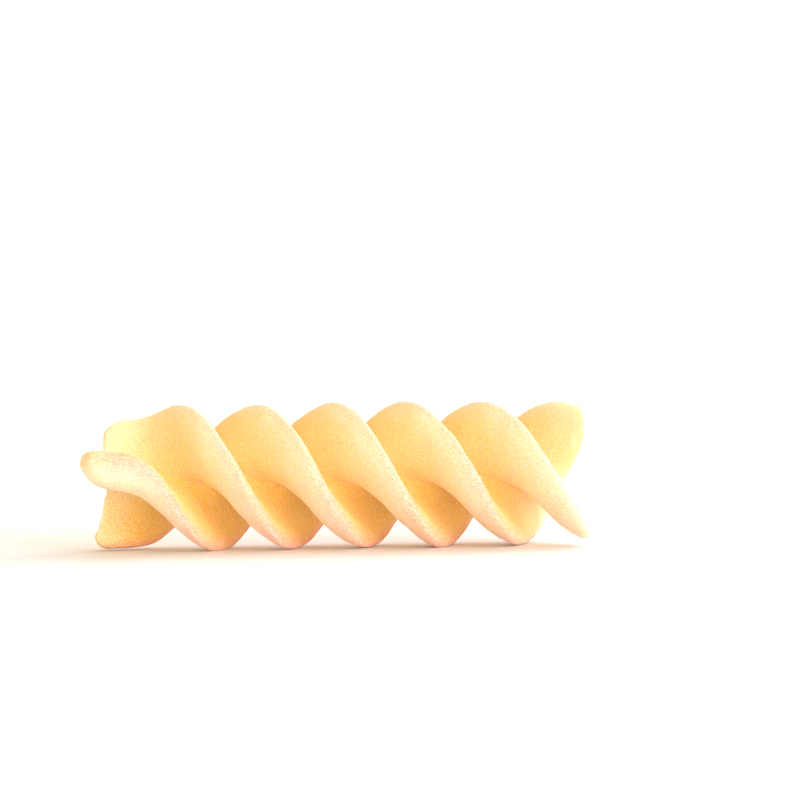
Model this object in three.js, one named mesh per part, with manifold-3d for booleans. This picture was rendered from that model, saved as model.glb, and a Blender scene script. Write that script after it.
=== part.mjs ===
// One dry fusillo: a three-armed star section, curled like a pinwheel and twisted along its length.
// Millimetres, +Z up. It lies along X on small flat spots, with its origin under its middle.

import * as THREE from 'three';
import { mergeVertices } from 'three/addons/utils/BufferGeometryUtils.js';
import Module from 'manifold-3d';

// Driving dimensions of the piece.
const LENGTH = 35.1;
const RADIUS = 5.22;
const PITCH = 16.4;
const ARMS = 3;

// Star section: arms that widen from the core to a round rim.
const CORE_HALF_WIDTH = 0.56;
const RIM_HALF_WIDTH = 1.65;
const VALLEY_RADIUS = 0.29;

// Curl of the arms: a point is turned back more the farther out it is.
const CURL = degrees(48.4);
const CURL_POWER = 1.42;

// Sections at the ends, with a rim half width for each arm, and how far in they blend to the regular one.
// The left end is slimmer and less curled than the rest.
const LEFT_SECTION = { rimHalfWidths: [1.12, 1.01, 1.2], curl: degrees(13.65), blendLength: 12.4 };
const RIGHT_SECTION = { rimHalfWidths: [1.77, 1.65, 1.76], curl: degrees(45.75), blendLength: 6.5 };

// Twist: regular in the middle, nearly none at the left end, lagging a little at the right end.
const LOWEST_RIM_AT = 19.94;
const STRAIGHT_UNTIL = 2.09;
const REGULAR_FROM = 6.8;
const LOST_SHARE = 0.914;
const LAG_ANGLE = degrees(10.9);
const LAG_LENGTH = 5.05;

// Unevenness: the twist hurries and slows a little, and the rims rise and fall along the piece.
const SLOW_TWIST_WAVE = degrees(1.5);
const QUICK_TWIST_WAVE = degrees(1.3);
const QUICK_TWIST_PHASE = 0.72;
const RIM_WAVES = [
  { height: 0.05, length: 12.5, phase: 0.4, armPhase: 2.1 },
  { height: 0.03, length: 5.3, phase: 1.9, armPhase: 4.3 },
];

// Cut ends: dished towards the core, a little tilted, with rounded rim corners and cut edges.
// For each arm, shift moves its rim's cut to the right, hump its middle, and corner rounds its rim.
const LEFT_END = {
  dish: 1.22,
  dishPower: 1.73,
  tiltY: 0.091,
  tiltZ: -0.017,
  edge: 0.24,
  shift: [0.13, 0.88, 0.02],
  hump: [-0.21, 0, 0.14],
  corner: [1.0, 1.37, 1.24],
};
const RIGHT_END = {
  dish: -0.9,
  dishPower: 1.75,
  tiltY: -0.016,
  tiltZ: -0.056,
  edge: 0.4,
  shift: [0.33, -0.06, 0.57],
  hump: [-0.01, 0.09, -0.07],
  corner: [0.67, 0.57, 0.43],
};
const HUMP_FROM = 0.17;
const END_FALLOFF = 6;

// Flat spots that it rests on.
const FLAT_DEPTH = 0.14;

// Fineness of the surface.
const RINGS = 80;
const FLANK_STEPS = 6;
const RIM_STEPS = 6;
const VALLEY_STEPS = 2;

const { clamp, lerp, smoothstep } = THREE.MathUtils;
const TURN = 2 * Math.PI;
const CENTRE = new THREE.Vector2();
const REGULAR_RIMS = new Array(ARMS).fill(RIM_HALF_WIDTH);

/** Radians from degrees. */
function degrees(angle) {
  return THREE.MathUtils.degToRad(angle);
}

/** Points of the star section, counter-clockwise, for each arm's rim half width and a curl. */
function starOutline(rimHalfWidths, curl) {
  const points = [];
  const bisector = Math.PI / ARMS;
  const flankStart = (CORE_HALF_WIDTH + VALLEY_RADIUS) / Math.tan(bisector);
  const valleyDistance = (CORE_HALF_WIDTH + VALLEY_RADIUS) / Math.sin(bisector);
  for (let arm = 0; arm < ARMS; arm += 1) {
    const rimHalfWidth = rimHalfWidths[arm];
    const rimCentre = RADIUS - rimHalfWidth;
    const straight = [];
    const flank = (t, side) => {
      const reach = lerp(flankStart, rimCentre, t);
      const halfWidth = lerp(CORE_HALF_WIDTH, rimHalfWidth, t);
      straight.push(new THREE.Vector2(reach, side * halfWidth));
    };
    for (let i = 0; i <= FLANK_STEPS; i += 1) {
      flank(i / FLANK_STEPS, -1);
    }
    for (let i = 1; i < RIM_STEPS; i += 1) {
      const around = -Math.PI / 2 + (Math.PI * i) / RIM_STEPS;
      straight.push(new THREE.Vector2(
        rimCentre + rimHalfWidth * Math.cos(around),
        rimHalfWidth * Math.sin(around),
      ));
    }
    for (let i = FLANK_STEPS; i >= 0; i -= 1) {
      flank(i / FLANK_STEPS, 1);
    }
    for (let i = 1; i < VALLEY_STEPS; i += 1) {
      const around = -Math.PI / 2 - (bisector * i) / VALLEY_STEPS;
      straight.push(new THREE.Vector2(
        valleyDistance * Math.cos(bisector) + VALLEY_RADIUS * Math.cos(around),
        valleyDistance * Math.sin(bisector) + VALLEY_RADIUS * Math.sin(around),
      ));
    }
    for (const point of straight) {
      const distance = point.length();
      const turnedBack = curl * (distance / RADIUS) ** CURL_POWER;
      const angle = point.angle() + (TURN * arm) / ARMS - turnedBack;
      points.push(new THREE.Vector2(distance * Math.cos(angle), distance * Math.sin(angle)));
    }
  }
  return points;
}

/** Rotation of the section at a distance from the left end. */
function twistAt(along) {
  const rate = TURN / PITCH;
  const ramp = REGULAR_FROM - STRAIGHT_UNTIL;
  const t = clamp((along - STRAIGHT_UNTIL) / ramp, 0, 1);
  const lost = ramp * (0.5 - t + t ** 3 - 0.5 * t ** 4) + Math.max(STRAIGHT_UNTIL - along, 0);
  const late = Math.max(0, (along - LENGTH + LAG_LENGTH) / LAG_LENGTH);
  const share = (TURN * along) / LENGTH;
  const uneven = QUICK_TWIST_WAVE * Math.sin(2 * share + QUICK_TWIST_PHASE) - SLOW_TWIST_WAVE * Math.sin(share);
  const regular = 1.5 * Math.PI + CURL + rate * (along - LOWEST_RIM_AT);
  return regular + rate * LOST_SHARE * lost - LAG_ANGLE * late * late + uneven;
}

/** How far a rim stands out or in at a distance from the left end. */
function rimWave(arm, along) {
  let height = 0;
  for (const wave of RIM_WAVES) {
    height += wave.height * Math.sin((TURN * along) / wave.length + wave.phase + wave.armPhase * arm);
  }
  return height;
}

/** How much is rounded off at a distance from a cut, for a corner of the given radius. */
function cornerLoss(distance, radius) {
  const t = 1 - clamp(distance / radius, 0, 1);
  return radius * (1 - Math.sqrt(1 - t * t));
}

/** How far a cut lies from the nominal end, at a point of the section turned to its place there. */
function cutOffset(end, arm, outward, turned) {
  const dish = end.dish * (1 - outward ** end.dishPower);
  const middle = clamp((outward - HUMP_FROM) / (1 - HUMP_FROM), 0, 1);
  const hump = 4 * end.hump[arm] * middle * (1 - middle);
  return dish + hump + end.tiltY * turned.x + end.tiltZ * turned.y + end.shift[arm] * outward ** 2;
}

/** The three sections, with the end ones turned so that their arms' roots line up with the regular one. */
function sections() {
  const regular = starOutline(REGULAR_RIMS, CURL);
  const [left, right] = [LEFT_SECTION, RIGHT_SECTION].map((end) => {
    const outline = starOutline(end.rimHalfWidths, end.curl);
    return outline.map((point) => point.rotateAround(CENTRE, end.curl - CURL));
  });
  return { regular, left, right };
}

/** Unit direction into the section at one of its points. */
function inwardAt(outline, index) {
  const count = outline.length;
  const tangent = outline[(index + 1) % count].clone().sub(outline[(index + count - 1) % count]);
  return new THREE.Vector2(-tangent.y, tangent.x).normalize();
}

/** Where a section point goes, at a share of the length between the two cuts. */
function placed({ regular, left, right }, index, share) {
  const point = regular[index];
  const arm = Math.floor((index * ARMS) / regular.length);
  const outward = Math.min(point.length() / RADIUS, 1);
  const turned = (along) => point.clone().rotateAround(CENTRE, twistAt(along));
  const leftCut = cutOffset(LEFT_END, arm, outward, turned(1));
  const rightCut = cutOffset(RIGHT_END, arm, outward, turned(LENGTH - 1));
  const along = LENGTH * share
    + leftCut * (1 - share) ** END_FALLOFF
    + rightCut * share ** END_FALLOFF;
  const toLeft = along - leftCut;
  const toRight = LENGTH + rightCut - along;
  const loss = cornerLoss(toLeft, LEFT_END.corner[arm])
    + cornerLoss(toRight, RIGHT_END.corner[arm])
    - rimWave(arm, along);
  const inset = outward * (cornerLoss(toLeft, LEFT_END.edge) + cornerLoss(toRight, RIGHT_END.edge));
  const leftShare = 1 - smoothstep(along, 0, LEFT_SECTION.blendLength);
  const rightShare = smoothstep(along, LENGTH - RIGHT_SECTION.blendLength, LENGTH);
  const section = point.clone().multiplyScalar(1 - leftShare - rightShare);
  section.addScaledVector(left[index], leftShare).addScaledVector(right[index], rightShare);
  section.addScaledVector(inwardAt(regular, index), inset);
  section.multiplyScalar(1 - (loss / RADIUS) * outward ** 2);
  section.rotateAround(CENTRE, twistAt(along));
  return new THREE.Vector3(along - LENGTH / 2, section.x, section.y);
}

/** Shares of the length where the rings lie: even, with two more at each rounded cut edge. */
function ringShares() {
  const [first, last] = [LEFT_END.edge / LENGTH, 1 - RIGHT_END.edge / LENGTH];
  const shares = [0, 0.3 * first];
  const even = RINGS - 4;
  for (let i = 0; i <= even; i += 1) {
    shares.push(lerp(first, last, i / even));
  }
  shares.push(lerp(1, last, 0.3), 1);
  return shares;
}

/** The twisted piece before its flat spots, made by moving the points of a straight extrusion. */
function twistedPiece() {
  const outlines = sections();
  const shares = ringShares();
  const straight = new THREE.ExtrudeGeometry(new THREE.Shape(outlines.regular), {
    depth: LENGTH,
    steps: RINGS,
    bevelEnabled: false,
  });
  const key = (x, y) => `${x.toFixed(3)},${y.toFixed(3)}`;
  const numbers = new Map(outlines.regular.map((point, index) => [key(point.x, point.y), index]));
  const position = straight.getAttribute('position');
  for (let i = 0; i < position.count; i += 1) {
    const index = numbers.get(key(position.getX(i), position.getY(i)));
    const ring = Math.round((position.getZ(i) / LENGTH) * RINGS);
    const moved = placed(outlines, index, shares[ring]);
    position.setXYZ(i, moved.x, moved.y, moved.z);
  }
  return straight;
}

/** The piece with its underside trimmed flat where its lowest rims touch the ground. */
async function restingPiece() {
  const wasm = await Module();
  wasm.setup();
  const geometry = twistedPiece();
  geometry.deleteAttribute('normal');
  geometry.deleteAttribute('uv');
  const merged = mergeVertices(geometry, 1e-4);
  const solid = new wasm.Manifold(new wasm.Mesh({
    numProp: 3,
    vertProperties: merged.getAttribute('position').array,
    triVerts: new Uint32Array(merged.index.array),
  }));
  const ground = solid.boundingBox().min[2] + FLAT_DEPTH;
  const trimmed = solid.trimByPlane([0, 0, 1], ground).getMesh();
  const resting = new THREE.BufferGeometry();
  resting.setAttribute('position', new THREE.BufferAttribute(trimmed.vertProperties, 3));
  resting.setIndex(new THREE.BufferAttribute(trimmed.triVerts, 1));
  resting.computeBoundingBox();
  const { min, max } = resting.boundingBox;
  resting.translate(-(min.x + max.x) / 2, -(min.y + max.y) / 2, -min.z);
  resting.computeVertexNormals();
  return resting;
}

const dryPasta = new THREE.MeshStandardMaterial({
  color: 0xf2c268,
  roughness: 0.7,
  metalness: 0,
});

const fusillo = new THREE.Mesh(await restingPiece(), dryPasta);
fusillo.name = 'fusillo';

const piece = new THREE.Group();
piece.add(fusillo);

export default piece;
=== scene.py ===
"""One dry fusillo of durum wheat pasta, lying on a white table.

The piece is lofted from a three-armed star section that curls like a pinwheel and turns along
the piece. Its skin has the sandy grain of semolina, deep orange grooves that are painted shade,
and pale rims that are partly painted highlight and partly the drier rims' own colour.
"""

import logging
import math
from dataclasses import dataclass, field
from enum import Enum

import bpy
import numpy as np
from mathutils import Euler, Matrix, Vector


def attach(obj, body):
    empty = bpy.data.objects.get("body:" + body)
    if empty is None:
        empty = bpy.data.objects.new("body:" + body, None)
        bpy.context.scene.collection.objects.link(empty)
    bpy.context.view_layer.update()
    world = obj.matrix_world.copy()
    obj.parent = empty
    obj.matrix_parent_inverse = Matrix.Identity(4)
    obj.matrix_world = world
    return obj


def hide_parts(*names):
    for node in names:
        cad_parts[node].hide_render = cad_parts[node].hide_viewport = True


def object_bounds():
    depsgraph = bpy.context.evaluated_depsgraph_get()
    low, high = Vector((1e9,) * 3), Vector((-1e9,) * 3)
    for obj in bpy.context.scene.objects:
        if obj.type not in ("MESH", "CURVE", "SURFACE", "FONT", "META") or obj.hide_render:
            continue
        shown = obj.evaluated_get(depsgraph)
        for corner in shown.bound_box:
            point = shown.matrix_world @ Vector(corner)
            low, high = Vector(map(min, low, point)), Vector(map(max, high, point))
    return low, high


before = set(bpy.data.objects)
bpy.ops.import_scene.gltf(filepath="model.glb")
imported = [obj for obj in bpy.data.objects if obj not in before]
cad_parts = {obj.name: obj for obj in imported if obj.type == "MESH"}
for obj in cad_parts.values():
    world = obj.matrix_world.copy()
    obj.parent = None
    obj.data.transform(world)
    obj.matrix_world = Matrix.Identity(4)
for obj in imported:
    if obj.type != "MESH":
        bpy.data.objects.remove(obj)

CAD_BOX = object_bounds()

MM = 0.001
TURN = 2.0 * math.pi

Colour = tuple[float, float, float, float]

log = logging.getLogger("fusillo")


class Slot(Enum):
    """Material slots of the record; the pieces here do not take their finish from them."""

    DRY_PASTA = "dry_pasta"


class Face(Enum):
    """Faces of the piece that are finished apart."""

    SKIN = 0
    CUT = 1


class Mark(Enum):
    """Values stored at the mesh's points for the finishes to read."""

    TINT_AND_SHADE = "tint"
    NEAR_CUT = "near_cut"


# The form of the piece


@dataclass(frozen=True)
class StarSection:
    """A cross-section with three arms that widen to a round rim and curl like a pinwheel."""

    rim_half_widths: tuple[float, float, float]
    curl: float
    blend_length: float = 0.0
    radius: float = 5.22 * MM
    core_half_width: float = 0.56 * MM
    valley_radius: float = 0.29 * MM
    curl_power: float = 1.42
    arms: int = 3
    flank_steps: int = 14
    rim_steps: int = 24
    valley_steps: int = 4

    @property
    def arm_points(self) -> int:
        """Points from one root of an arm, round its rim, to the other root."""
        return 2 * self.flank_steps + self.rim_steps + 1

    @property
    def points(self) -> int:
        """Points of the whole outline."""
        return self.arms * (self.arm_points + self.valley_steps - 1)

    def _straight_arm(self, rim_half_width: float) -> list[tuple[float, float]]:
        """Points of one arm along +X before it curls, with the valley after it.

        Args:
            rim_half_width: Half the width of the arm at its rim.

        Returns:
            The points in counter-clockwise order.
        """
        bisector = math.pi / self.arms
        shoulder = self.core_half_width + self.valley_radius
        start = shoulder / math.tan(bisector)
        valley = shoulder / math.sin(bisector)
        rim_centre = self.radius - rim_half_width
        flank = []
        for step in range(self.flank_steps + 1):
            share = step / self.flank_steps
            reach = start + (rim_centre - start) * share
            half_width = self.core_half_width + (rim_half_width - self.core_half_width) * share
            flank.append((reach, half_width))
        points = [(reach, -half_width) for reach, half_width in flank]
        for step in range(1, self.rim_steps):
            around = math.pi * (step / self.rim_steps - 0.5)
            x = rim_centre + rim_half_width * math.cos(around)
            points.append((x, rim_half_width * math.sin(around)))
        points.extend(reversed(flank))
        for step in range(1, self.valley_steps):
            around = -math.pi / 2 - bisector * step / self.valley_steps
            x = valley * math.cos(bisector) + self.valley_radius * math.cos(around)
            y = valley * math.sin(bisector) + self.valley_radius * math.sin(around)
            points.append((x, y))
        return points

    def outline(self) -> np.ndarray:
        """The curled outline.

        Returns:
            An array of points, counter-clockwise, arm after arm.
        """
        arms = np.array([self._straight_arm(width) for width in self.rim_half_widths])
        distance = np.hypot(arms[..., 0], arms[..., 1])
        angle = np.arctan2(arms[..., 1], arms[..., 0])
        angle = angle - self.curl * (distance / self.radius) ** self.curl_power
        angle = angle + TURN * np.arange(self.arms)[:, None] / self.arms
        curled = np.stack([distance * np.cos(angle), distance * np.sin(angle)], axis=-1)
        return curled.reshape(-1, 2)


@dataclass(frozen=True)
class Twist:
    """How the section turns along the piece."""

    length: float
    start_angle: float
    pitch: float = 16.4 * MM
    lowest_rim_at: float = 19.94 * MM
    straight_until: float = 2.09 * MM
    regular_from: float = 6.8 * MM
    lost_share: float = 0.914
    lag_angle: float = math.radians(10.9)
    lag_length: float = 5.05 * MM
    slow_wave: float = math.radians(1.5)
    quick_wave: float = math.radians(1.3)
    quick_phase: float = 0.72

    def at(self, along: np.ndarray) -> np.ndarray:
        """Rotation of the section.

        Args:
            along: Distances from the left end.

        Returns:
            The angles, in radians.
        """
        rate = TURN / self.pitch
        ramp = self.regular_from - self.straight_until
        share = np.clip((along - self.straight_until) / ramp, 0.0, 1.0)
        lost = ramp * (0.5 - share + share**3 - 0.5 * share**4)
        lost = lost + np.maximum(self.straight_until - along, 0.0)
        late = np.maximum(0.0, (along - self.length + self.lag_length) / self.lag_length)
        wave = TURN * along / self.length
        uneven = self.quick_wave * np.sin(2.0 * wave + self.quick_phase)
        uneven = uneven - self.slow_wave * np.sin(wave)
        regular = self.start_angle + rate * (along - self.lowest_rim_at)
        return regular + rate * self.lost_share * lost - self.lag_angle * late**2 + uneven


@dataclass(frozen=True)
class CutEnd:
    """One cut end: dished towards the core and a little tilted, with rounded corners and edges.

    For each arm, shift moves its rim's cut along the axis, hump its middle, and corner rounds its rim.
    The skin is as pale as the cut over pale_width. A paleness of the share faint fades over faint_reach.
    This paleness is partly the dry cut's own colour and partly painted light, set wide and far-reaching
    where an end faces the lights.
    """

    dish: float
    dish_power: float
    tilt_y: float
    tilt_z: float
    edge: float
    shift: tuple[float, float, float]
    hump: tuple[float, float, float]
    corner: tuple[float, float, float]
    pale_width: float
    faint: float
    faint_reach: float
    hump_from: float = 0.17
    band_start: float = 0.8
    band_stop: float = 1.25

    def offset(self, arm: np.ndarray, outward: np.ndarray, turned: np.ndarray) -> np.ndarray:
        """How far the cut lies from the nominal end.

        Args:
            arm: Number of each point's arm.
            outward: Each point's distance from the axis, as a share of the radius.
            turned: The points, turned to their place at this end.

        Returns:
            Distances along the axis.
        """
        dished = self.dish * (1.0 - outward**self.dish_power)
        tilted = self.tilt_y * turned[:, 0] + self.tilt_z * turned[:, 1]
        middle = np.clip((outward - self.hump_from) / (1.0 - self.hump_from), 0.0, 1.0)
        hump = 4.0 * np.array(self.hump)[arm] * middle * (1.0 - middle)
        return dished + hump + tilted + np.array(self.shift)[arm] * outward**2

    def pale(self, distance: np.ndarray) -> np.ndarray:
        """How far the skin is as pale as the cut.

        Args:
            distance: Distances from the cut.

        Returns:
            Shares from 0, the skin's own colour, to 1, the cut's pale colour, which is partly painted
            light.
        """
        start, stop = self.band_start * self.pale_width, self.band_stop * self.pale_width
        band = 1.0 - smooth(distance, start, stop)
        faint = self.faint * (1.0 - smooth(distance, 0.0, self.faint_reach))
        return np.maximum(band, faint)


def smooth(value: np.ndarray, low: float, high: float) -> np.ndarray:
    """Smooth step from 0 at the low limit to 1 at the high one."""
    share = np.clip((value - low) / (high - low), 0.0, 1.0)
    return share * share * (3.0 - 2.0 * share)


def rounded_off(distance: np.ndarray, radius: np.ndarray) -> np.ndarray:
    """How much is rounded off near a cut.

    Args:
        distance: Distances from the cut.
        radius: Radius of the rounding.

    Returns:
        Depths below the full shape.
    """
    share = 1.0 - np.clip(distance / radius, 0.0, 1.0)
    return radius * (1.0 - np.sqrt(1.0 - share**2))


@dataclass(frozen=True)
class ArmTintAndPaintedShade:
    """Colours of the dough around an arm.

    The places run from its hollow inner side over its rim's nose and crown to its outer side. The colours
    hold painted shade and light: the hollow side and the rim's nose are painted darker and deeper orange
    where the next arm shades them, and the crown is painted paler, partly as a highlight and partly as the
    drier rim's own colour.
    """

    places: tuple[float, ...] = (0.0, 0.26, 0.4, 0.48, 0.6, 0.72, 1.0)
    greens: tuple[float, ...] = (0.81, 0.64, 0.39, 0.475, 0.83, 0.845, 0.72)
    blues: tuple[float, ...] = (0.34, 0.195, 0.32, 0.49, 0.79, 0.67, 0.45)
    red: float = 0.985

    def at(self, around: np.ndarray, period: float) -> np.ndarray:
        """Colours at places around the arms.

        Args:
            around: Places, from 0 at an arm's inner root to 1 at its outer root.
            period: Distance from one arm's start to the next one's.

        Returns:
            Colours with an alpha of 1.
        """
        green = np.interp(around, self.places, self.greens, period=period)
        blue = np.interp(around, self.places, self.blues, period=period)
        return np.stack([np.full_like(around, self.red), green, blue, np.ones_like(around)], axis=-1)


@dataclass(frozen=True)
class RimWave:
    """A slow rise and fall of the rims."""

    height: float
    length: float
    phase: float
    arm_phase: float

    def at(self, arm: np.ndarray, along: np.ndarray) -> np.ndarray:
        """Height of the wave for each arm number and distance along the piece."""
        return self.height * np.sin(TURN * along / self.length + self.phase + self.arm_phase * arm)


@dataclass(frozen=True)
class Surface:
    """Rings of points from end to end, with what the finish needs to know of each point."""

    rings: np.ndarray
    tint: np.ndarray
    near_cut: np.ndarray

    @property
    def shape(self) -> tuple[int, int]:
        """Number of rings and of points in each."""
        return self.rings.shape[0], self.rings.shape[1]


@dataclass(frozen=True)
class SpiralForm:
    """The twisted solid, from its section, twist, ends and unevenness."""

    length: float = 35.1 * MM
    section: StarSection = StarSection(
        rim_half_widths=(1.65 * MM, 1.65 * MM, 1.65 * MM),
        curl=math.radians(48.4),
    )
    left_section: StarSection = StarSection(
        rim_half_widths=(1.12 * MM, 1.01 * MM, 1.2 * MM),
        curl=math.radians(13.65),
        blend_length=12.4 * MM,
    )
    right_section: StarSection = StarSection(
        rim_half_widths=(1.77 * MM, 1.65 * MM, 1.76 * MM),
        curl=math.radians(45.75),
        blend_length=6.5 * MM,
    )
    left: CutEnd = CutEnd(
        dish=1.22 * MM,
        dish_power=1.73,
        tilt_y=0.091,
        tilt_z=-0.017,
        edge=0.24 * MM,
        shift=(0.13 * MM, 0.88 * MM, 0.02 * MM),
        hump=(-0.21 * MM, 0.0, 0.14 * MM),
        corner=(1.0 * MM, 1.37 * MM, 1.24 * MM),
        pale_width=0.2 * MM,
        faint=0.6,
        faint_reach=2.8 * MM,
    )
    # The right end faces the lights, so its wide pale band and long faint paleness are partly painted
    # light; the left end, turned away, gets a narrow band.
    right: CutEnd = CutEnd(
        dish=-0.9 * MM,
        dish_power=1.75,
        tilt_y=-0.016,
        tilt_z=-0.056,
        edge=0.4 * MM,
        shift=(0.33 * MM, -0.06 * MM, 0.57 * MM),
        hump=(-0.01 * MM, 0.09 * MM, -0.07 * MM),
        corner=(0.67 * MM, 0.57 * MM, 0.43 * MM),
        pale_width=0.95 * MM,
        faint=0.75,
        faint_reach=7.0 * MM,
    )
    end_falloff: float = 6.0
    cut_turn_at: float = 1.0 * MM
    # Arm colours, with painted shade in the hollows and a painted highlight on the crowns.
    tint: ArmTintAndPaintedShade = ArmTintAndPaintedShade()
    rim_waves: tuple[RimWave, ...] = (
        RimWave(height=0.05 * MM, length=12.5 * MM, phase=0.4, arm_phase=2.1),
        RimWave(height=0.03 * MM, length=5.3 * MM, phase=1.9, arm_phase=4.3),
    )
    flat_depth: float = 0.14 * MM
    edge_rings: int = 8
    body_rings: int = 470

    def _shares(self) -> np.ndarray:
        """Where the rings lie, closer together at the cut edges.

        Returns:
            Shares of the length, from the left end.
        """
        around = np.linspace(0.0, math.pi / 2, self.edge_rings, endpoint=False)
        close = 1.0 - np.cos(around)
        first, last = self.left.edge / self.length, self.right.edge / self.length
        body = np.linspace(first, 1.0 - last, self.body_rings)
        return np.concatenate([close * first, body, 1.0 - close[::-1] * last])

    def _aligned(self, section: StarSection) -> np.ndarray:
        """Outline of an end section, turned so that its arms' roots line up with the regular one."""
        return self._turned(section.outline(), np.array(section.curl - self.section.curl))

    @staticmethod
    def _turned(points: np.ndarray, angle: np.ndarray) -> np.ndarray:
        """Points turned about the axis.

        Args:
            points: Section points.
            angle: Angle of each point, or one for all.

        Returns:
            The turned points.
        """
        cos, sin = np.cos(angle), np.sin(angle)
        x = points[..., 0] * cos - points[..., 1] * sin
        y = points[..., 0] * sin + points[..., 1] * cos
        return np.stack([x, y], axis=-1)

    @staticmethod
    def _inward(points: np.ndarray) -> np.ndarray:
        """Directions into the section.

        Args:
            points: Section points, in order.

        Returns:
            A unit direction for each point.
        """
        tangent = np.roll(points, -1, axis=-2) - np.roll(points, 1, axis=-2)
        inward = np.stack([-tangent[..., 1], tangent[..., 0]], axis=-1)
        return inward / np.linalg.norm(inward, axis=-1, keepdims=True)

    def surface(self) -> Surface:
        """The skin between the two cuts, with the axis at the origin.

        Returns:
            The rings of points.
        """
        twist = Twist(self.length, 1.5 * math.pi + self.section.curl)
        outline = self.section.outline()
        arm = np.arange(len(outline)) * self.section.arms // len(outline)
        outward = np.minimum(np.linalg.norm(outline, axis=1) / self.section.radius, 1.0)
        near, far = twist.at(np.array([self.cut_turn_at, self.length - self.cut_turn_at]))
        left_cut = self.left.offset(arm, outward, self._turned(outline, near))
        right_cut = self.right.offset(arm, outward, self._turned(outline, far))
        share = self._shares()[:, None]
        along = self.length * share
        along = along + left_cut * (1.0 - share) ** self.end_falloff
        along = along + right_cut * share**self.end_falloff
        to_left = along - left_cut
        to_right = self.length + right_cut - along
        loss = rounded_off(to_left, np.array(self.left.corner)[arm])
        loss = loss + rounded_off(to_right, np.array(self.right.corner)[arm])
        for wave in self.rim_waves:
            loss = loss - wave.at(arm, along)
        inset = rounded_off(to_left, self.left.edge) + rounded_off(to_right, self.right.edge)
        to_ends = ((self.left_section, along), (self.right_section, self.length - along))
        flat = np.broadcast_to(outline, (*along.shape, 2))
        for section, distance in to_ends:
            near_end = 1.0 - smooth(distance, 0.0, section.blend_length)
            flat = flat + (self._aligned(section) - outline) * near_end[..., None]
        flat = flat + self._inward(outline) * (inset * outward)[..., None]
        flat = flat * (1.0 - loss / self.section.radius * outward**2)[..., None]
        turned = self._turned(flat, twist.at(along))
        x = along - self.length / 2
        rings = np.concatenate([x[..., None], turned], axis=-1)
        # Paleness near the cuts, partly the dry cut's own colour and partly painted light.
        near_cut = np.maximum(self.left.pale(to_left), self.right.pale(to_right))
        stride = self.section.points // self.section.arms
        steps = self.section.arm_points - 1
        # Colour around each arm, with painted shade darkening the hollow sides and a painted highlight on
        # the crowns.
        tint = self.tint.at(np.arange(len(outline)) % stride / steps, stride / steps)
        return Surface(rings, np.broadcast_to(tint, (*along.shape, 4)), near_cut)


@dataclass(frozen=True)
class Unevenness:
    """Smooth random lumps, made of plane waves in seeded random directions."""

    wavelength: float
    height: float
    seed: int
    waves: int = 28
    stretches: tuple[float, float] = (0.7, 1.4)

    def at(self, points: np.ndarray) -> np.ndarray:
        """Height of the lumps.

        Args:
            points: Points in space.

        Returns:
            A height for each point, with the named height as its usual size.
        """
        random = np.random.default_rng(self.seed)
        direction = random.normal(size=(self.waves, 3))
        direction = direction / np.linalg.norm(direction, axis=1, keepdims=True)
        stretch = random.uniform(*self.stretches, size=(self.waves, 1))
        phase = random.uniform(0.0, TURN, size=self.waves)
        angle = points @ (direction * stretch * TURN / self.wavelength).T + phase
        return self.height * np.sin(angle).sum(axis=1) * math.sqrt(2.0 / self.waves)


@dataclass(frozen=True)
class Nick:
    """A small dent knocked into a rim or a cut edge."""

    place: tuple[float, float, float]
    radius: float
    depth: float

    def at(self, points: np.ndarray) -> np.ndarray:
        """Depth of the dent.

        Args:
            points: Points in space, with the axis at the origin.

        Returns:
            A depth for each point, deepest at the nick's place.
        """
        distance = np.linalg.norm(points - np.array(self.place), axis=1)
        return self.depth * smooth(self.radius - distance, 0.0, self.radius)


# Shader nodes


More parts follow.
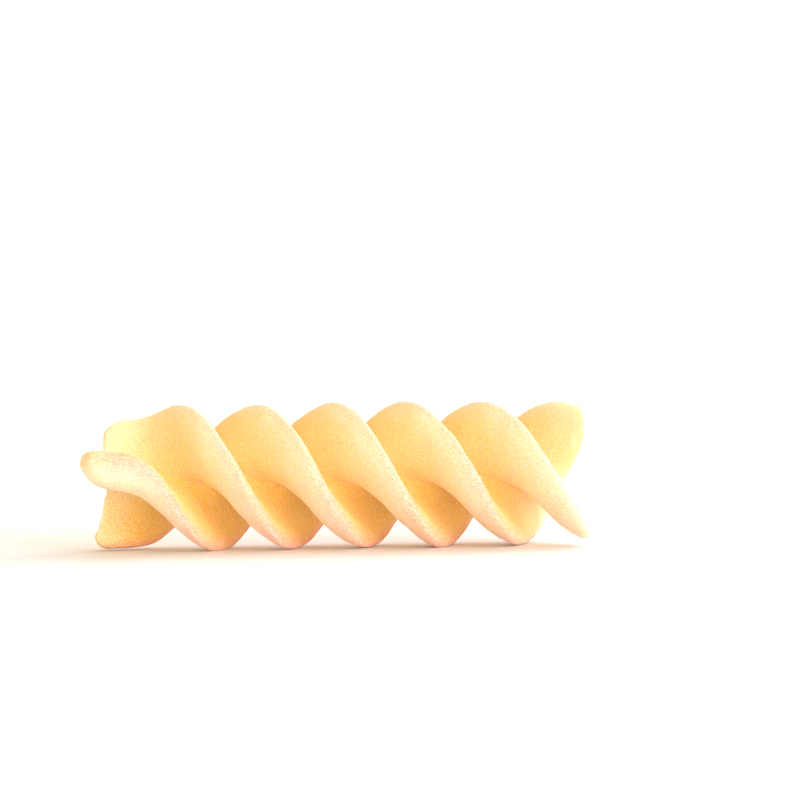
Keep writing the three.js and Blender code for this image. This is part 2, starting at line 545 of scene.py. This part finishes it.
@dataclass
class NodePen:
    """Adds nodes to one tree and joins them."""

    tree: bpy.types.NodeTree

    def add(self, kind: str, **settings: object) -> bpy.types.Node:
        """A new node.

        Args:
            kind: Blender's name of the node type.
            settings: Values for the node's own properties.

        Returns:
            The node.
        """
        node = self.tree.nodes.new(kind)
        for name, value in settings.items():
            setattr(node, name, value)
        return node

    def feed(self, socket: bpy.types.NodeSocket, value: object) -> None:
        """Joins a socket to another, or sets its own value.

        Args:
            socket: The input.
            value: An output socket, a number or a colour.
        """
        if isinstance(value, bpy.types.NodeSocket):
            self.tree.links.new(value, socket)
        else:
            socket.default_value = value

    def math(self, operation: str, first: object, second: object = 0.0) -> bpy.types.NodeSocket:
        """The result of a sum on two values.

        Args:
            operation: Blender's name of the sum.
            first: A socket or a number.
            second: A socket or a number.

        Returns:
            The value socket.
        """
        node = self.add("ShaderNodeMath", operation=operation)
        self.feed(node.inputs[0], first)
        self.feed(node.inputs[1], second)
        return node.outputs[0]

    def noise(self, place: object, scale: object, detail: float) -> bpy.types.NodeSocket:
        """Noise between 0 and 1.

        Args:
            place: Socket with the coordinates.
            scale: Bumps per metre.
            detail: Finer layers.

        Returns:
            The value socket.
        """
        node = self.add("ShaderNodeTexNoise")
        self.feed(node.inputs["Vector"], place)
        self.feed(node.inputs["Scale"], scale)
        node.inputs["Detail"].default_value = detail
        return node.outputs[0]

    def spread(self, value: object, low: float, high: float) -> bpy.types.NodeSocket:
        """A value stretched smoothly between 0 and 1, and clamped.

        Args:
            value: The value.
            low: What becomes 0.
            high: What becomes 1.

        Returns:
            The value socket.
        """
        node = self.add("ShaderNodeMapRange", interpolation_type="SMOOTHSTEP")
        self.feed(node.inputs["Value"], value)
        node.inputs["From Min"].default_value = low
        node.inputs["From Max"].default_value = high
        return node.outputs[0]

    def mix(self, share: object, first: object, second: object, blend: str = "MIX") -> bpy.types.NodeSocket:
        """A mix of two colours.

        Args:
            share: How much of the second.
            first: First colour.
            second: Second colour.
            blend: Blend mode.

        Returns:
            The colour socket.
        """
        node = self.add("ShaderNodeMix", data_type="RGBA", blend_type=blend)
        self.feed(node.inputs["Factor"], share)
        self.feed(node.inputs["A"], first)
        self.feed(node.inputs["B"], second)
        return node.outputs["Result"]


def new_group(name: str, inputs: dict[str, float], outputs: dict[str, str]) -> bpy.types.NodeTree:
    """An empty shader node group with named sockets.

    Args:
        name: Name of the group.
        inputs: Number inputs with their usual values.
        outputs: Output names with their socket types.

    Returns:
        The group.
    """
    group = bpy.data.node_groups.new(name, "ShaderNodeTree")
    for label, value in inputs.items():
        socket = group.interface.new_socket(label, in_out="INPUT", socket_type="NodeSocketFloat")
        socket.default_value = value
    for label, kind in outputs.items():
        group.interface.new_socket(label, in_out="OUTPUT", socket_type=kind)
    return group


def semolina_grain() -> bpy.types.NodeTree:
    """The sandy grain of durum semolina: pale flecks, dark specks and a fine rough height.

    Returns:
        The node group.
    """
    group = new_group(
        "semolina grain",
        {"Grain Size": 0.12 * MM},
        {"Fleck": "NodeSocketFloat", "Speck": "NodeSocketFloat", "Height": "NodeSocketFloat"},
    )
    dust_fineness = 2.6
    coarse_fineness = 0.37
    sand_share = 0.7
    pen = NodePen(group)
    given = pen.add("NodeGroupInput")
    made = pen.add("NodeGroupOutput")
    place = pen.add("ShaderNodeTexCoord").outputs["Object"]
    fineness = pen.math("DIVIDE", 1.0, given.outputs["Grain Size"])
    sand = pen.noise(place, fineness, detail=2.0)
    dust = pen.noise(place, pen.math("MULTIPLY", fineness, dust_fineness), detail=1.0)
    coarse = pen.noise(place, pen.math("MULTIPLY", fineness, coarse_fineness), detail=1.0)
    fleck = pen.spread(sand, low=0.42, high=0.62)
    patches = pen.spread(coarse, low=0.66, high=0.76)
    speck = pen.math("MULTIPLY", patches, pen.spread(dust, low=0.45, high=0.6))
    sand_height = pen.math("MULTIPLY", sand, sand_share)
    height = pen.math("ADD", sand_height, pen.math("MULTIPLY", dust, 1.0 - sand_share))
    pen.feed(made.inputs["Fleck"], fleck)
    pen.feed(made.inputs["Speck"], speck)
    pen.feed(made.inputs["Height"], height)
    return group


def dough_clouds() -> bpy.types.NodeTree:
    """Slow colour clouds in the dough, from unevenly mixed and dried semolina.

    Returns:
        The node group.
    """
    group = new_group("dough clouds", {"Cloud Size": 4.0 * MM}, {"Cloud": "NodeSocketFloat"})
    pen = NodePen(group)
    given = pen.add("NodeGroupInput")
    made = pen.add("NodeGroupOutput")
    place = pen.add("ShaderNodeTexCoord").outputs["Object"]
    fineness = pen.math("DIVIDE", 1.0, given.outputs["Cloud Size"])
    cloud = pen.noise(place, fineness, detail=3.0)
    pen.feed(made.inputs["Cloud"], pen.spread(cloud, low=0.3, high=0.7))
    return group


@dataclass(frozen=True)
class PastaFinish:
    """Matt, sandy, slightly translucent dry pasta."""

    name: str
    cut_and_light_colour: Colour
    cloud_colour: Colour
    fleck_colour: Colour
    speck_colour: Colour
    fleck_share: float
    grain_depth: float
    roughness: tuple[float, float]
    dough_shade: Colour = (0.95, 0.87, 0.70, 1.0)
    cloud_share: float = 0.2
    speck_share: float = 0.5
    grain_size: float = 0.12 * MM
    glow_radius: tuple[float, float, float] = (1.0, 0.45, 0.2)
    glow_scale: float = 1.1 * MM
    glow: float = 0.65
    refraction: float = 1.48
    shine: float = 0.3

    def material(self, grain: bpy.types.NodeTree, clouds: bpy.types.NodeTree) -> bpy.types.Material:
        """Builds the material.

        Args:
            grain: The semolina grain group.
            clouds: The dough clouds group.

        Returns:
            The material.
        """
        material = bpy.data.materials.new(self.name)
        material.use_nodes = True
        material.node_tree.nodes.clear()
        pen = NodePen(material.node_tree)
        shader = pen.add("ShaderNodeBsdfPrincipled")
        surface = pen.add("ShaderNodeOutputMaterial")
        pen.feed(surface.inputs["Surface"], shader.outputs["BSDF"])
        sand = pen.add("ShaderNodeGroup", node_tree=grain)
        sand.inputs["Grain Size"].default_value = self.grain_size
        cloud = pen.add("ShaderNodeGroup", node_tree=clouds)
        # Per-point arm colour with painted shade in the hollows and a painted highlight on the crowns, then
        # paleness near the cuts that is partly painted light.
        tint = pen.add("ShaderNodeAttribute", attribute_name=Mark.TINT_AND_SHADE.value).outputs["Color"]
        near_cut = pen.add("ShaderNodeAttribute", attribute_name=Mark.NEAR_CUT.value).outputs["Fac"]
        cloudy = pen.math("MULTIPLY", cloud.outputs["Cloud"], self.cloud_share)
        colour = pen.mix(cloudy, tint, self.cloud_colour)
        colour = pen.mix(near_cut, colour, self.cut_and_light_colour)
        dough = pen.mix(1.0, colour, self.dough_shade, "MULTIPLY")
        fleck = pen.mix(self.fleck_share, colour, self.fleck_colour)
        colour = pen.mix(sand.outputs["Fleck"], dough, fleck)
        specks = pen.math("MULTIPLY", sand.outputs["Speck"], self.speck_share)
        colour = pen.mix(specks, colour, self.speck_colour)
        pen.feed(shader.inputs["Base Color"], colour)
        low, high = self.roughness
        rough = pen.math("MULTIPLY", sand.outputs["Height"], high - low)
        pen.feed(shader.inputs["Roughness"], pen.math("ADD", rough, low))
        bump = pen.add("ShaderNodeBump")
        bump.inputs["Strength"].default_value = 1.0
        bump.inputs["Distance"].default_value = self.grain_depth
        pen.feed(bump.inputs["Height"], sand.outputs["Height"])
        pen.feed(shader.inputs["Normal"], bump.outputs["Normal"])
        shader.inputs["Subsurface Weight"].default_value = self.glow
        shader.inputs["Subsurface Radius"].default_value = self.glow_radius
        shader.inputs["Subsurface Scale"].default_value = self.glow_scale
        shader.inputs["IOR"].default_value = self.refraction
        shader.inputs["Specular IOR Level"].default_value = self.shine
        return material


# The piece


@dataclass
class Fusillo:
    """The one piece of pasta: its skin between the cuts and its two cut faces."""

    form: SpiralForm = field(default_factory=SpiralForm)
    cut_columns: int = 8
    lumps: tuple[Unevenness, ...] = (
        Unevenness(wavelength=7.0 * MM, height=0.035 * MM, seed=11),
        Unevenness(wavelength=2.4 * MM, height=0.014 * MM, seed=12),
        Unevenness(wavelength=0.95 * MM, height=0.006 * MM, seed=13),
    )
    cut_roughness: Unevenness = Unevenness(wavelength=0.7 * MM, height=0.02 * MM, seed=14)
    nicks: tuple[Nick, ...] = (
        Nick(place=(17.1 * MM, -3.1 * MM, 2.25 * MM), radius=0.8 * MM, depth=0.36 * MM),
        Nick(place=(17.15 * MM, -1.9 * MM, 2.25 * MM), radius=0.8 * MM, depth=0.36 * MM),
        Nick(place=(-1.6 * MM, -5.15 * MM, 0.4 * MM), radius=0.4 * MM, depth=0.13 * MM),
    )
    axis_centre: Vector = field(default_factory=Vector)

    def _skin_faces(self, rings: int, around: int) -> np.ndarray:
        """The skin's four-sided faces.

        Args:
            rings: Number of rings.
            around: Number of points in each.

        Returns:
            Four corner numbers for each face.
        """
        ring, point = np.meshgrid(np.arange(rings - 1), np.arange(around), indexing="ij")
        after = (point + 1) % around
        corners = [ring * around + point, ring * around + after]
        corners += [(ring + 1) * around + after, (ring + 1) * around + point]
        return np.stack([corner.ravel() for corner in corners], axis=-1)

    def _cut_face(
        self, edge: np.ndarray, first: int, start: int, outwards: bool
    ) -> tuple[np.ndarray, list[tuple[int, ...]]]:
        """One cut face, as rows across each arm that meet in the core.

        Args:
            edge: Points of the skin's last ring.
            first: Number of that ring's first point.
            start: Number that the first new point gets.
            outwards: Whether the ring's order already faces out of the cut.

        Returns:
            New points and faces.
        """
        section = self.form.section
        columns = self.cut_columns
        stride = section.points // section.arms
        points: list[np.ndarray] = []
        faces: list[tuple[int, ...]] = []
        core: list[int] = []
        for arm in range(section.arms):
            root = arm * stride
            tip = section.arm_points // 2
            rows = []
            for step in range(tip):
                low, high = root + step, root + section.arm_points - 1 - step
                row = [first + low]
                for column in range(1, columns):
                    share = column / columns
                    points.append(edge[low] * (1 - share) + edge[high] * share)
                    row.append(start + len(points) - 1)
                row.append(first + high)
                rows.append(row)
            for lower, upper in zip(rows[:-1], rows[1:]):
                for column in range(columns):
                    corners = (lower[column], upper[column], upper[column + 1], lower[column + 1])
                    faces.append(corners)
            point = first + root + tip
            for column in range(columns):
                faces.append((rows[-1][column], point, rows[-1][column + 1]))
            core.extend(rows[0])
            valley = root + section.arm_points
            core.extend(first + valley + step for step in range(section.valley_steps - 1))
        everything = np.concatenate([edge, np.array(points)])
        edge_stop = first + len(edge)
        index = [number - first if number < edge_stop else number - start + len(edge) for number in core]
        points.append(everything[index].mean(axis=0))
        centre = start + len(points) - 1
        faces.extend((centre, a, b) for a, b in zip(core, core[1:] + core[:1]))
        if not outwards:
            faces = [tuple(reversed(corners)) for corners in faces]
        return np.array(points), faces

    def build(self) -> bpy.types.Object:
        """Builds the mesh in its place on the table.

        Returns:
            The object.
        """
        surface = self.form.surface()
        rings, around = surface.shape
        skin = surface.rings.reshape(-1, 3)
        groups = [skin]
        faces = [tuple(corners) for corners in self._skin_faces(rings, around).tolist()]
        skin_faces = len(faces)
        count = len(skin)
        for ring, outwards in ((0, False), (rings - 1, True)):
            points, cut = self._cut_face(surface.rings[ring], ring * around, count, outwards)
            groups.append(points)
            faces.extend(cut)
            count += len(points)
        points = np.concatenate(groups)
        tint = np.ones((count, 4))
        tint[: len(skin)] = surface.tint.reshape(-1, 4)
        near_cut = np.ones(count)
        near_cut[: len(skin)] = surface.near_cut.ravel()
        on_cut = np.zeros(count, dtype=bool)
        on_cut[len(skin):] = True
        mesh = bpy.data.meshes.new("fusillo_pasta")
        mesh.from_pydata(points.tolist(), [], faces)
        self._roughen(mesh, points, on_cut)
        self._settle(mesh, points)
        kinds = np.full(len(faces), Face.CUT.value, dtype=np.int32)
        kinds[:skin_faces] = Face.SKIN.value
        mesh.polygons.foreach_set("material_index", kinds)
        mesh.shade_smooth()
        tints_and_shade = mesh.attributes.new(Mark.TINT_AND_SHADE.value, "FLOAT_COLOR", "POINT")
        tints_and_shade.data.foreach_set("color", tint.ravel())
        near_cuts = mesh.attributes.new(Mark.NEAR_CUT.value, "FLOAT", "POINT")
        near_cuts.data.foreach_set("value", near_cut)
        mesh.update()
        piece = bpy.data.objects.new("fusillo_pasta", mesh)
        bpy.context.scene.collection.objects.link(piece)
        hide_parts("fusillo")
        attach(piece, "root")
        log.info("fusillo: %d points, %d faces", len(mesh.vertices), len(mesh.polygons))
        return piece

    def _roughen(self, mesh: bpy.types.Mesh, points: np.ndarray, on_cut: np.ndarray) -> None:
        """Gives the surface its lumps, the rough cuts and the nicks.

        Args:
            mesh: The mesh.
            points: Its points, which are moved.
            on_cut: Which points lie inside a cut face.
        """
        mesh.update()
        normals = np.empty(len(points) * 3)
        mesh.vertices.foreach_get("normal", normals)
        normals = normals.reshape(-1, 3)
        height = sum(lumps.at(points) for lumps in self.lumps)
        height = height + np.where(on_cut, self.cut_roughness.at(points), 0.0)
        for nick in self.nicks:
            height = height - nick.at(points)
        points += normals * height[:, None]

    def _settle(self, mesh: bpy.types.Mesh, points: np.ndarray) -> None:
        """Moves the piece onto the table as the frame has it, and presses its flat spots.

        Args:
            mesh: The mesh.
            points: Its points, which are moved.
        """
        low, high = CAD_BOX
        middle = (points.min(axis=0) + points.max(axis=0)) / 2
        ground = points[:, 2].min() + self.form.flat_depth
        centre_x, centre_y = (low.x + high.x) / 2, (low.y + high.y) / 2
        shift = np.array([centre_x - middle[0], centre_y - middle[1], low.z - ground])
        points += shift
        points[:, 2] = np.maximum(points[:, 2], low.z)
        mesh.vertices.foreach_set("co", points.ravel())
        self.axis_centre = Vector(shift)

    def dress(self, piece: bpy.types.Object) -> None:
        """Gives the piece its skin and cut finishes.

        Args:
            piece: The built object.
        """
        grain = semolina_grain()
        clouds = dough_clouds()
        skin = PastaFinish(
            name="dry pasta skin",
            # Pale colour near the cuts, partly painted light.
            cut_and_light_colour=(0.985, 0.82, 0.70, 1.0),
            cloud_colour=(0.985, 0.58, 0.22, 1.0),
            fleck_colour=(0.985, 0.86, 0.56, 1.0),
            speck_colour=(0.92, 0.44, 0.12, 1.0),
            fleck_share=0.35,
            grain_depth=0.07 * MM,
            roughness=(0.45, 0.8),
        )
        cut = PastaFinish(
            name="dry pasta cut",
            cut_and_light_colour=(0.985, 0.74, 0.52, 1.0),
            cloud_colour=(0.985, 0.67, 0.44, 1.0),
            fleck_colour=(0.985, 0.80, 0.62, 1.0),
            speck_colour=(0.85, 0.48, 0.20, 1.0),
            fleck_share=0.35,
            grain_depth=0.06 * MM,
            roughness=(0.55, 0.9),
        )
        for finish in (skin, cut):
            piece.data.materials.append(finish.material(grain, clouds))
        log.info("fusillo: skin and cut finishes")


# The studio


@dataclass(frozen=True)
class Table:
    """A plain white table top that reaches far beyond the view."""

    half_width: float = 3000.0 * MM
    front: float = -600.0 * MM
    back: float = 6000.0 * MM
    colour: Colour = (0.76, 0.79, 0.92, 1.0)
    roughness: float = 0.7
    shine: float = 0.2

    def build(self) -> bpy.types.Object:
        """Builds the table top.

        Returns:
            The object.
        """
        corners = [(side * self.half_width, y, 0.0) for y in (self.front, self.back) for side in (-1, 1)]
        mesh = bpy.data.meshes.new("table")
        mesh.from_pydata(corners, [], [(0, 1, 3, 2)])
        table = bpy.data.objects.new("table", mesh)
        bpy.context.scene.collection.objects.link(table)
        material = bpy.data.materials.new("white table")
        material.use_nodes = True
        shader = material.node_tree.nodes["Principled BSDF"]
        shader.inputs["Base Color"].default_value = self.colour
        shader.inputs["Roughness"].default_value = self.roughness
        shader.inputs["Specular IOR Level"].default_value = self.shine
        mesh.materials.append(material)
        log.info("table: white top")
        return table


@dataclass(frozen=True)
class BroadLight:
    """A light as even as a large soft box far away, with its directions and spread in degrees."""

    name: str
    azimuth: float
    elevation: float
    spread: float
    strength: float
    colour: tuple[float, float, float]

    def build(self) -> bpy.types.Object:
        """Builds the light.

        Returns:
            The light object.
        """
        data = bpy.data.lights.new(self.name, "SUN")
        data.energy = self.strength
        data.angle = math.radians(self.spread)
        data.color = self.colour
        light = bpy.data.objects.new(self.name, data)
        turn = math.radians(self.azimuth)
        rise = math.radians(self.elevation)
        away = Vector((math.sin(turn) * math.cos(rise), -math.cos(turn) * math.cos(rise), math.sin(rise)))
        light.rotation_euler = away.to_track_quat("Z", "Y").to_euler()
        bpy.context.scene.collection.objects.link(light)
        return light


@dataclass(frozen=True)
class Studio:
    """A white room with warm light of its own, and broad lights around the table.

    The low lights are warm and the high ones cool.
    """

    room_light: Colour = (0.70, 0.50, 0.12, 1.0)
    room_shown: Colour = (1.1, 1.1, 1.1, 1.0)
    lights: tuple[BroadLight, ...] = (
        BroadLight("right back", 105.0, 25.0, 40.0, 1.75, (1.0, 0.9, 0.75)),
        BroadLight("top back", 150.0, 55.0, 60.0, 1.3, (0.97, 0.98, 1.25)),
        BroadLight("right top", 60.0, 45.0, 50.0, 0.6, (0.95, 1.0, 1.3)),
        BroadLight("right front", 45.0, 12.0, 40.0, 3.15, (1.0, 1.0, 1.1)),
        BroadLight("left front", -40.0, 20.0, 50.0, 0.3, (1.0, 0.85, 0.5)),
        BroadLight("low front", 0.0, 4.0, 30.0, 1.0, (1.0, 0.7, 0.3)),
    )

    def build(self) -> None:
        """Builds the surroundings and lights."""
        world = bpy.data.worlds.new("white room")
        world.use_nodes = True
        pen = NodePen(world.node_tree)
        seen = pen.add("ShaderNodeLightPath").outputs["Is Camera Ray"]
        background = world.node_tree.nodes["Background"]
        pen.feed(background.inputs["Color"], pen.mix(seen, self.room_light, self.room_shown))
        background.inputs["Strength"].default_value = 1.0
        bpy.context.scene.world = world
        for light in self.lights:
            light.build()
        bpy.context.scene.view_settings.view_transform = "Standard"
        log.info("studio: %d broad lights", len(self.lights))


@dataclass(frozen=True)
class PhotoCamera:
    """The camera at the photograph's viewing angle, with the piece where the photograph has it."""

    photo_side: float = 800.0
    focal_pixels: float = 1800.0
    pixels_per_millimetre: float = 13.9
    centre_pixel: tuple[float, float] = (336.9, 476.3)
    yaw: float = math.radians(-6.08)
    elevation: float = math.radians(-0.21)
    roll: float = math.radians(-0.47)
    sensor: float = 36.0
    nearest: float = 5.0 * MM
    farthest: float = 20.0

    def build(self, target: Vector) -> bpy.types.Object:
        """Builds the camera.

        Args:
            target: The point of the piece that the photograph shows at the centre pixel.

        Returns:
            The camera object.
        """
        data = bpy.data.cameras.new("camera")
        data.sensor_width = self.sensor
        data.lens = self.sensor * self.focal_pixels / self.photo_side
        data.clip_start = self.nearest
        data.clip_end = self.farthest
        turn = Matrix.Rotation(self.yaw, 4, "Z")
        turn = turn @ Euler((math.pi / 2 - self.elevation, 0.0, 0.0)).to_matrix().to_4x4()
        turn = turn @ Matrix.Rotation(self.roll, 4, "Z")
        across = (self.centre_pixel[0] - self.photo_side / 2) / self.focal_pixels
        down = (self.centre_pixel[1] - self.photo_side / 2) / self.focal_pixels
        distance = self.focal_pixels / self.pixels_per_millimetre * MM
        ray = turn @ Vector((across, -down, -1.0))
        camera = bpy.data.objects.new("camera", data)
        camera.matrix_world = Matrix.Translation(target - ray * distance) @ turn
        bpy.context.scene.collection.objects.link(camera)
        bpy.context.scene.camera = camera
        log.info("camera: %.1f mm lens", data.lens)
        return camera


def main() -> None:
    """Builds the piece and the studio around it."""
    logging.basicConfig(level=logging.INFO, format="%(message)s")
    fusillo = Fusillo()
    piece = fusillo.build()
    fusillo.dress(piece)
    Table().build()
    Studio().build()
    PhotoCamera().build(fusillo.axis_centre)


if __name__ == "__main__":
    main()
